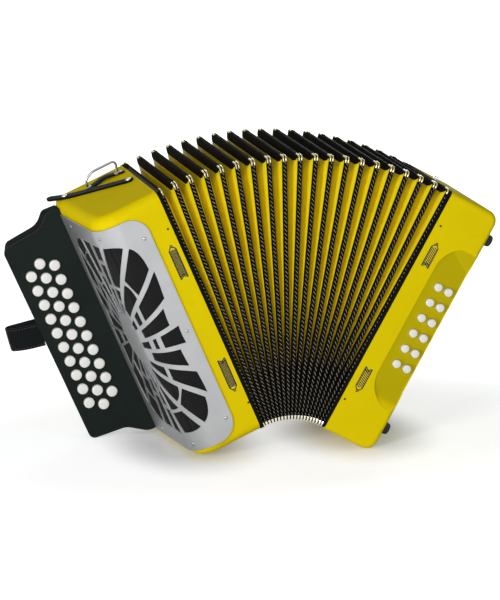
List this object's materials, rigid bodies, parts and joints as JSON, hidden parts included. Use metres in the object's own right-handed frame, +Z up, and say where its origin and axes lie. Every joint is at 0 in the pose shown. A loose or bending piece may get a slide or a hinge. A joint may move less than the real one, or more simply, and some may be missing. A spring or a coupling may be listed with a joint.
{
  "type": "diatonic accordion",
  "caption": "Fan-opened button accordion with yellow ends, a pierced sunburst grille, a black button board and pleated bellows between the treble and bass ends.",
  "frame": {"origin": "centre of the bounding box at floor level, under the open fan", "axes": "+X from the treble end to the bass end, +Y from the front (buttons and grille) to the player's side, +Z up"},
  "size_m": [0.6058, 0.1926, 0.3858],
  "materials": {
    "yellow_celluloid": "gloss",
    "grille_metal": "satin",
    "black_cloth": "matte",
    "black_lacquer": "satin",
    "black_wood": "painted",
    "bellows_board": "matte",
    "bare_wood": "matte",
    "black_leather": "satin",
    "black_rubber": "matte",
    "bright_steel": "polished",
    "button_white": "gloss"
  },
  "bodies": {
    "treble": {"treble_casing": "yellow_celluloid", "treble_grille": "grille_metal", "grille_cloth": "black_cloth", "fingerboard": "black_lacquer", "thumb_strap": "black_leather", "strap_bracket": "bright_steel", "treble_reed_blocks": "bare_wood", "treble_bellows_frame": "black_wood", "bellows": "bellows_board"},
    "bass": {"bass_bellows_frame": "black_wood", "bass_casing": "yellow_celluloid", "bass_reed_blocks": "bare_wood", "rubber_feet": "black_rubber", "hand_strap": "black_leather", "bass_strap_stud": "bright_steel"},
    "bellows_strap": {"bellows_strap": "black_leather"},
    "air_button": {"air_button": "button_white"},
    "bass_button_01": {"bass_button_01": "button_white"},
    "bass_button_02": {"bass_button_02": "button_white"},
    "bass_button_03": {"bass_button_03": "button_white"},
    "bass_button_04": {"bass_button_04": "button_white"},
    "bass_button_05": {"bass_button_05": "button_white"},
    "bass_button_06": {"bass_button_06": "button_white"},
    "bass_button_07": {"bass_button_07": "button_white"},
    "bass_button_08": {"bass_button_08": "button_white"},
    "bass_button_09": {"bass_button_09": "button_white"},
    "bass_button_10": {"bass_button_10": "button_white"},
    "bass_button_11": {"bass_button_11": "button_white"},
    "bass_button_12": {"bass_button_12": "button_white"},
    "treble_button_01": {"treble_button_01": "button_white"},
    "treble_button_02": {"treble_button_02": "button_white"},
    "treble_button_03": {"treble_button_03": "button_white"},
    "treble_button_04": {"treble_button_04": "button_white"},
    "treble_button_05": {"treble_button_05": "button_white"},
    "treble_button_06": {"treble_button_06": "button_white"},
    "treble_button_07": {"treble_button_07": "button_white"},
    "treble_button_08": {"treble_button_08": "button_white"},
    "treble_button_09": {"treble_button_09": "button_white"},
    "treble_button_10": {"treble_button_10": "button_white"},
    "treble_button_11": {"treble_button_11": "button_white"},
    "treble_button_12": {"treble_button_12": "button_white"},
    "treble_button_13": {"treble_button_13": "button_white"},
    "treble_button_14": {"treble_button_14": "button_white"},
    "treble_button_15": {"treble_button_15": "button_white"},
    "treble_button_16": {"treble_button_16": "button_white"},
    "treble_button_17": {"treble_button_17": "button_white"},
    "treble_button_18": {"treble_button_18": "button_white"},
    "treble_button_19": {"treble_button_19": "button_white"},
    "treble_button_20": {"treble_button_20": "button_white"},
    "treble_button_21": {"treble_button_21": "button_white"},
    "treble_button_22": {"treble_button_22": "button_white"},
    "treble_button_23": {"treble_button_23": "button_white"},
    "treble_button_24": {"treble_button_24": "button_white"},
    "treble_button_25": {"treble_button_25": "button_white"},
    "treble_button_26": {"treble_button_26": "button_white"},
    "treble_button_27": {"treble_button_27": "button_white"},
    "treble_button_28": {"treble_button_28": "button_white"},
    "treble_button_29": {"treble_button_29": "button_white"},
    "treble_button_30": {"treble_button_30": "button_white"},
    "treble_button_31": {"treble_button_31": "button_white"}
  },
  "joints": [
    {"name": "bellows_fan", "type": "hinge", "parent": "treble", "child": "bass", "pos_m": [0.03403, 0, 0.04497], "axis": [0, 1, 0], "range_deg": [-53, 12], "deforming": ["bellows"]},
    {"name": "bellows_strap_swing", "type": "hinge", "parent": "treble", "child": "bellows_strap", "pos_m": [-0.15339, 0.00335, 0.34527], "axis": [-0.3965, 0, 0.9181], "range_deg": [0, 217]},
    {"name": "air_button_press", "type": "slide", "parent": "bass", "child": "air_button", "axis": [0, -1, 0], "range_m": [0, 0.004], "stiffness_N_per_m": 150},
    {"name": "press_bass_01", "type": "slide", "parent": "bass", "child": "bass_button_01", "axis": [0, 1, 0], "range_m": [0, 0.003], "stiffness_N_per_m": 150},
    {"name": "press_bass_02", "type": "slide", "parent": "bass", "child": "bass_button_02", "axis": [0, 1, 0], "range_m": [0, 0.003], "stiffness_N_per_m": 150},
    {"name": "press_bass_03", "type": "slide", "parent": "bass", "child": "bass_button_03", "axis": [0, 1, 0], "range_m": [0, 0.003], "stiffness_N_per_m": 150},
    {"name": "press_bass_04", "type": "slide", "parent": "bass", "child": "bass_button_04", "axis": [0, 1, 0], "range_m": [0, 0.003], "stiffness_N_per_m": 150},
    {"name": "press_bass_05", "type": "slide", "parent": "bass", "child": "bass_button_05", "axis": [0, 1, 0], "range_m": [0, 0.003], "stiffness_N_per_m": 150},
    {"name": "press_bass_06", "type": "slide", "parent": "bass", "child": "bass_button_06", "axis": [0, 1, 0], "range_m": [0, 0.003], "stiffness_N_per_m": 150},
    {"name": "press_bass_07", "type": "slide", "parent": "bass", "child": "bass_button_07", "axis": [0, 1, 0], "range_m": [0, 0.003], "stiffness_N_per_m": 150},
    {"name": "press_bass_08", "type": "slide", "parent": "bass", "child": "bass_button_08", "axis": [0, 1, 0], "range_m": [0, 0.003], "stiffness_N_per_m": 150},
    {"name": "press_bass_09", "type": "slide", "parent": "bass", "child": "bass_button_09", "axis": [0, 1, 0], "range_m": [0, 0.003], "stiffness_N_per_m": 150},
    {"name": "press_bass_10", "type": "slide", "parent": "bass", "child": "bass_button_10", "axis": [0, 1, 0], "range_m": [0, 0.003], "stiffness_N_per_m": 150},
    {"name": "press_bass_11", "type": "slide", "parent": "bass", "child": "bass_button_11", "axis": [0, 1, 0], "range_m": [0, 0.003], "stiffness_N_per_m": 150},
    {"name": "press_bass_12", "type": "slide", "parent": "bass", "child": "bass_button_12", "axis": [0, 1, 0], "range_m": [0, 0.003], "stiffness_N_per_m": 150},
    {"name": "press_treble_01", "type": "slide", "parent": "treble", "child": "treble_button_01", "axis": [0, 1, 0], "range_m": [0, 0.0035], "stiffness_N_per_m": 150},
    {"name": "press_treble_02", "type": "slide", "parent": "treble", "child": "treble_button_02", "axis": [0, 1, 0], "range_m": [0, 0.0035], "stiffness_N_per_m": 150},
    {"name": "press_treble_03", "type": "slide", "parent": "treble", "child": "treble_button_03", "axis": [0, 1, 0], "range_m": [0, 0.0035], "stiffness_N_per_m": 150},
    {"name": "press_treble_04", "type": "slide", "parent": "treble", "child": "treble_button_04", "axis": [0, 1, 0], "range_m": [0, 0.0035], "stiffness_N_per_m": 150},
    {"name": "press_treble_05", "type": "slide", "parent": "treble", "child": "treble_button_05", "axis": [0, 1, 0], "range_m": [0, 0.0035], "stiffness_N_per_m": 150},
    {"name": "press_treble_06", "type": "slide", "parent": "treble", "child": "treble_button_06", "axis": [0, 1, 0], "range_m": [0, 0.0035], "stiffness_N_per_m": 150},
    {"name": "press_treble_07", "type": "slide", "parent": "treble", "child": "treble_button_07", "axis": [0, 1, 0], "range_m": [0, 0.0035], "stiffness_N_per_m": 150},
    {"name": "press_treble_08", "type": "slide", "parent": "treble", "child": "treble_button_08", "axis": [0, 1, 0], "range_m": [0, 0.0035], "stiffness_N_per_m": 150},
    {"name": "press_treble_09", "type": "slide", "parent": "treble", "child": "treble_button_09", "axis": [0, 1, 0], "range_m": [0, 0.0035], "stiffness_N_per_m": 150},
    {"name": "press_treble_10", "type": "slide", "parent": "treble", "child": "treble_button_10", "axis": [0, 1, 0], "range_m": [0, 0.0035], "stiffness_N_per_m": 150},
    {"name": "press_treble_11", "type": "slide", "parent": "treble", "child": "treble_button_11", "axis": [0, 1, 0], "range_m": [0, 0.0035], "stiffness_N_per_m": 150},
    {"name": "press_treble_12", "type": "slide", "parent": "treble", "child": "treble_button_12", "axis": [0, 1, 0], "range_m": [0, 0.0035], "stiffness_N_per_m": 150},
    {"name": "press_treble_13", "type": "slide", "parent": "treble", "child": "treble_button_13", "axis": [0, 1, 0], "range_m": [0, 0.0035], "stiffness_N_per_m": 150},
    {"name": "press_treble_14", "type": "slide", "parent": "treble", "child": "treble_button_14", "axis": [0, 1, 0], "range_m": [0, 0.0035], "stiffness_N_per_m": 150},
    {"name": "press_treble_15", "type": "slide", "parent": "treble", "child": "treble_button_15", "axis": [0, 1, 0], "range_m": [0, 0.0035], "stiffness_N_per_m": 150},
    {"name": "press_treble_16", "type": "slide", "parent": "treble", "child": "treble_button_16", "axis": [0, 1, 0], "range_m": [0, 0.0035], "stiffness_N_per_m": 150},
    {"name": "press_treble_17", "type": "slide", "parent": "treble", "child": "treble_button_17", "axis": [0, 1, 0], "range_m": [0, 0.0035], "stiffness_N_per_m": 150},
    {"name": "press_treble_18", "type": "slide", "parent": "treble", "child": "treble_button_18", "axis": [0, 1, 0], "range_m": [0, 0.0035], "stiffness_N_per_m": 150},
    {"name": "press_treble_19", "type": "slide", "parent": "treble", "child": "treble_button_19", "axis": [0, 1, 0], "range_m": [0, 0.0035], "stiffness_N_per_m": 150},
    {"name": "press_treble_20", "type": "slide", "parent": "treble", "child": "treble_button_20", "axis": [0, 1, 0], "range_m": [0, 0.0035], "stiffness_N_per_m": 150},
    {"name": "press_treble_21", "type": "slide", "parent": "treble", "child": "treble_button_21", "axis": [0, 1, 0], "range_m": [0, 0.0035], "stiffness_N_per_m": 150},
    {"name": "press_treble_22", "type": "slide", "parent": "treble", "child": "treble_button_22", "axis": [0, 1, 0], "range_m": [0, 0.0035], "stiffness_N_per_m": 150},
    {"name": "press_treble_23", "type": "slide", "parent": "treble", "child": "treble_button_23", "axis": [0, 1, 0], "range_m": [0, 0.0035], "stiffness_N_per_m": 150},
    {"name": "press_treble_24", "type": "slide", "parent": "treble", "child": "treble_button_24", "axis": [0, 1, 0], "range_m": [0, 0.0035], "stiffness_N_per_m": 150},
    {"name": "press_treble_25", "type": "slide", "parent": "treble", "child": "treble_button_25", "axis": [0, 1, 0], "range_m": [0, 0.0035], "stiffness_N_per_m": 150},
    {"name": "press_treble_26", "type": "slide", "parent": "treble", "child": "treble_button_26", "axis": [0, 1, 0], "range_m": [0, 0.0035], "stiffness_N_per_m": 150},
    {"name": "press_treble_27", "type": "slide", "parent": "treble", "child": "treble_button_27", "axis": [0, 1, 0], "range_m": [0, 0.0035], "stiffness_N_per_m": 150},
    {"name": "press_treble_28", "type": "slide", "parent": "treble", "child": "treble_button_28", "axis": [0, 1, 0], "range_m": [0, 0.0035], "stiffness_N_per_m": 150},
    {"name": "press_treble_29", "type": "slide", "parent": "treble", "child": "treble_button_29", "axis": [0, 1, 0], "range_m": [0, 0.0035], "stiffness_N_per_m": 150},
    {"name": "press_treble_30", "type": "slide", "parent": "treble", "child": "treble_button_30", "axis": [0, 1, 0], "range_m": [0, 0.0035], "stiffness_N_per_m": 150},
    {"name": "press_treble_31", "type": "slide", "parent": "treble", "child": "treble_button_31", "axis": [0, 1, 0], "range_m": [0, 0.0035], "stiffness_N_per_m": 150}
  ]
}
